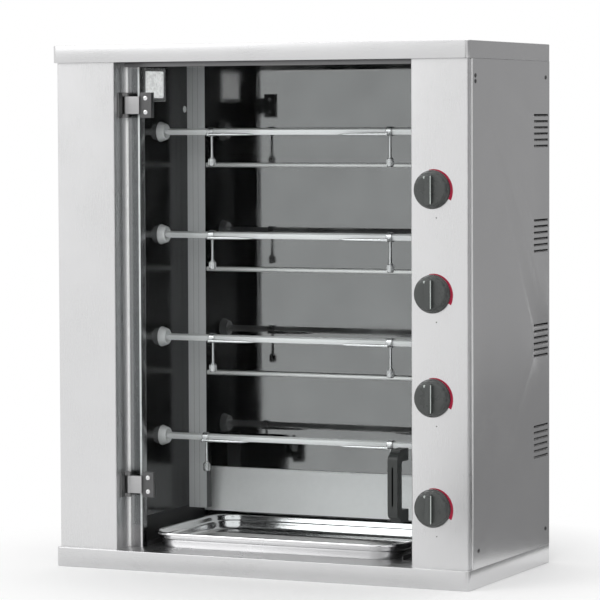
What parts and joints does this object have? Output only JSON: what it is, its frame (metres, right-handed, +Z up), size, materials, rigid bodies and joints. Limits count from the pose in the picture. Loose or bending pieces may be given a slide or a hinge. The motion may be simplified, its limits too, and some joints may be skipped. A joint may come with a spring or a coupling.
{
  "type": "countertop electric rotisserie",
  "caption": "Steel countertop rotisserie with a side-hung glass door, driven spits with sliding forks, rotary knobs and a pull-out drip tray.",
  "frame": {"origin": "middle of the footprint, at the underside of the base", "axes": "+Z up, +X to the right seen from the front, +Y to the back, the door and knobs face -Y"},
  "size_m": [0.8378, 0.42, 0.975],
  "materials": {
    "black_plastic": "satin",
    "bright_steel": "polished",
    "casing_steel": "brushed",
    "dark_steel": "satin",
    "door_glass": "clear",
    "galvanised": "dull",
    "hinge_dark": "satin",
    "knob_plastic": "satin",
    "lamp_glass": "textured",
    "liner_steel": "polished",
    "motor_paint": "satin",
    "tray_steel": "satin",
    "white_ceramic": "matt"
  },
  "bodies": {
    "casing": {"back_cover": "galvanised", "base_pan": "casing_steel", "bottom_plate": "galvanised", "cable_gland": "black_plastic", "casing_screws": "bright_steel", "control_panel": "casing_steel", "door_jamb_left": "casing_steel", "door_jamb_right": "casing_steel", "door_lintel": "casing_steel", "door_magnet": "hinge_dark", "element_cover_left": "tray_steel", "element_cover_right": "tray_steel", "gear_motors": "motor_paint", "grease_deflector": "tray_steel", "heating_elements": "bright_steel", "hinge_leaves": "hinge_dark", "lamp_bulb": "white_ceramic", "lamp_frame": "bright_steel", "lamp_glass": "lamp_glass", "lamp_housing": "galvanised", "left_front_panel": "casing_steel", "left_side_panel": "casing_steel", "liner_back": "liner_steel", "liner_left": "liner_steel", "liner_right": "liner_steel", "liner_top": "liner_steel", "lower_back_panel": "liner_steel", "right_side_panel": "casing_steel", "rotary_switches": "black_plastic", "spit_bearings": "bright_steel", "terminal_block": "white_ceramic", "top_cap": "casing_steel", "tray_runner_left": "dark_steel", "tray_runner_right": "dark_steel"},
    "door": {"door_glass": "door_glass", "hinge_clamps": "hinge_dark", "door_screws": "bright_steel", "door_handle": "black_plastic"},
    "tray": {"drip_tray": "tray_steel"},
    "spit_unit_1": {"spit_1": "bright_steel", "drive_hub_1": "bright_steel"},
    "fork_unit_1_left": {"fork_1_left": "bright_steel"},
    "fork_unit_1_right": {"fork_1_right": "bright_steel"},
    "spit_unit_2": {"spit_2": "bright_steel", "drive_hub_2": "bright_steel"},
    "fork_unit_2_left": {"fork_2_left": "bright_steel"},
    "fork_unit_2_right": {"fork_2_right": "bright_steel"},
    "spit_unit_3": {"spit_3": "bright_steel", "drive_hub_3": "bright_steel"},
    "fork_unit_3_left": {"fork_3_left": "bright_steel"},
    "fork_unit_3_right": {"fork_3_right": "bright_steel"},
    "spit_unit_4": {"spit_4": "bright_steel", "drive_hub_4": "bright_steel"},
    "fork_unit_4_left": {"fork_4_left": "bright_steel"},
    "fork_unit_4_right": {"fork_4_right": "bright_steel"},
    "knob_unit_1": {"knob_1": "knob_plastic"},
    "knob_unit_2": {"knob_2": "knob_plastic"},
    "knob_unit_3": {"knob_3": "knob_plastic"},
    "knob_unit_4": {"knob_4": "knob_plastic"}
  },
  "joints": [
    {"name": "door_swing", "type": "hinge", "parent": "casing", "child": "door", "pos_m": [-0.284, -0.154, 0.51], "axis": [0, 0, -1], "range_deg": [0, 90]},
    {"name": "tray_slide", "type": "slide", "parent": "casing", "child": "tray", "axis": [0, -1, 0], "range_m": [0, 0.3]},
    {"name": "spit_1_turn", "type": "hinge", "parent": "casing", "child": "spit_unit_1", "pos_m": [0, -0.01, 0.814], "axis": [1, 0, 0], "continuous": true},
    {"name": "fork_1_left_slide", "type": "slide", "parent": "spit_unit_1", "child": "fork_unit_1_left", "axis": [1, 0, 0], "range_m": [-0.05, 0.085]},
    {"name": "fork_1_right_slide", "type": "slide", "parent": "spit_unit_1", "child": "fork_unit_1_right", "axis": [-1, 0, 0], "range_m": [-0.05, 0.085]},
    {"name": "spit_2_turn", "type": "hinge", "parent": "casing", "child": "spit_unit_2", "pos_m": [0, -0.01, 0.619], "axis": [1, 0, 0], "continuous": true},
    {"name": "fork_2_left_slide", "type": "slide", "parent": "spit_unit_2", "child": "fork_unit_2_left", "axis": [1, 0, 0], "range_m": [-0.05, 0.085]},
    {"name": "fork_2_right_slide", "type": "slide", "parent": "spit_unit_2", "child": "fork_unit_2_right", "axis": [-1, 0, 0], "range_m": [-0.05, 0.085]},
    {"name": "spit_3_turn", "type": "hinge", "parent": "casing", "child": "spit_unit_3", "pos_m": [0, -0.01, 0.424], "axis": [1, 0, 0], "continuous": true},
    {"name": "fork_3_left_slide", "type": "slide", "parent": "spit_unit_3", "child": "fork_unit_3_left", "axis": [1, 0, 0], "range_m": [-0.05, 0.085]},
    {"name": "fork_3_right_slide", "type": "slide", "parent": "spit_unit_3", "child": "fork_unit_3_right", "axis": [-1, 0, 0], "range_m": [-0.05, 0.085]},
    {"name": "spit_4_turn", "type": "hinge", "parent": "casing", "child": "spit_unit_4", "pos_m": [0, -0.01, 0.235], "axis": [1, 0, 0], "continuous": true},
    {"name": "fork_4_left_slide", "type": "slide", "parent": "spit_unit_4", "child": "fork_unit_4_left", "axis": [1, 0, 0], "range_m": [-0.05, 0.085]},
    {"name": "fork_4_right_slide", "type": "slide", "parent": "spit_unit_4", "child": "fork_unit_4_right", "axis": [-1, 0, 0], "range_m": [-0.05, 0.085]},
    {"name": "knob_1_turn", "type": "hinge", "parent": "casing", "child": "knob_unit_1", "pos_m": [0.344, -0.197, 0.7115], "axis": [0, 1, 0], "range_deg": [0, 270]},
    {"name": "knob_2_turn", "type": "hinge", "parent": "casing", "child": "knob_unit_2", "pos_m": [0.344, -0.197, 0.5262], "axis": [0, 1, 0], "range_deg": [0, 270]},
    {"name": "knob_3_turn", "type": "hinge", "parent": "casing", "child": "knob_unit_3", "pos_m": [0.344, -0.197, 0.3409], "axis": [0, 1, 0], "range_deg": [0, 270]},
    {"name": "knob_4_turn", "type": "hinge", "parent": "casing", "child": "knob_unit_4", "pos_m": [0.344, -0.197, 0.1439], "axis": [0, 1, 0], "range_deg": [0, 270]}
  ]
}
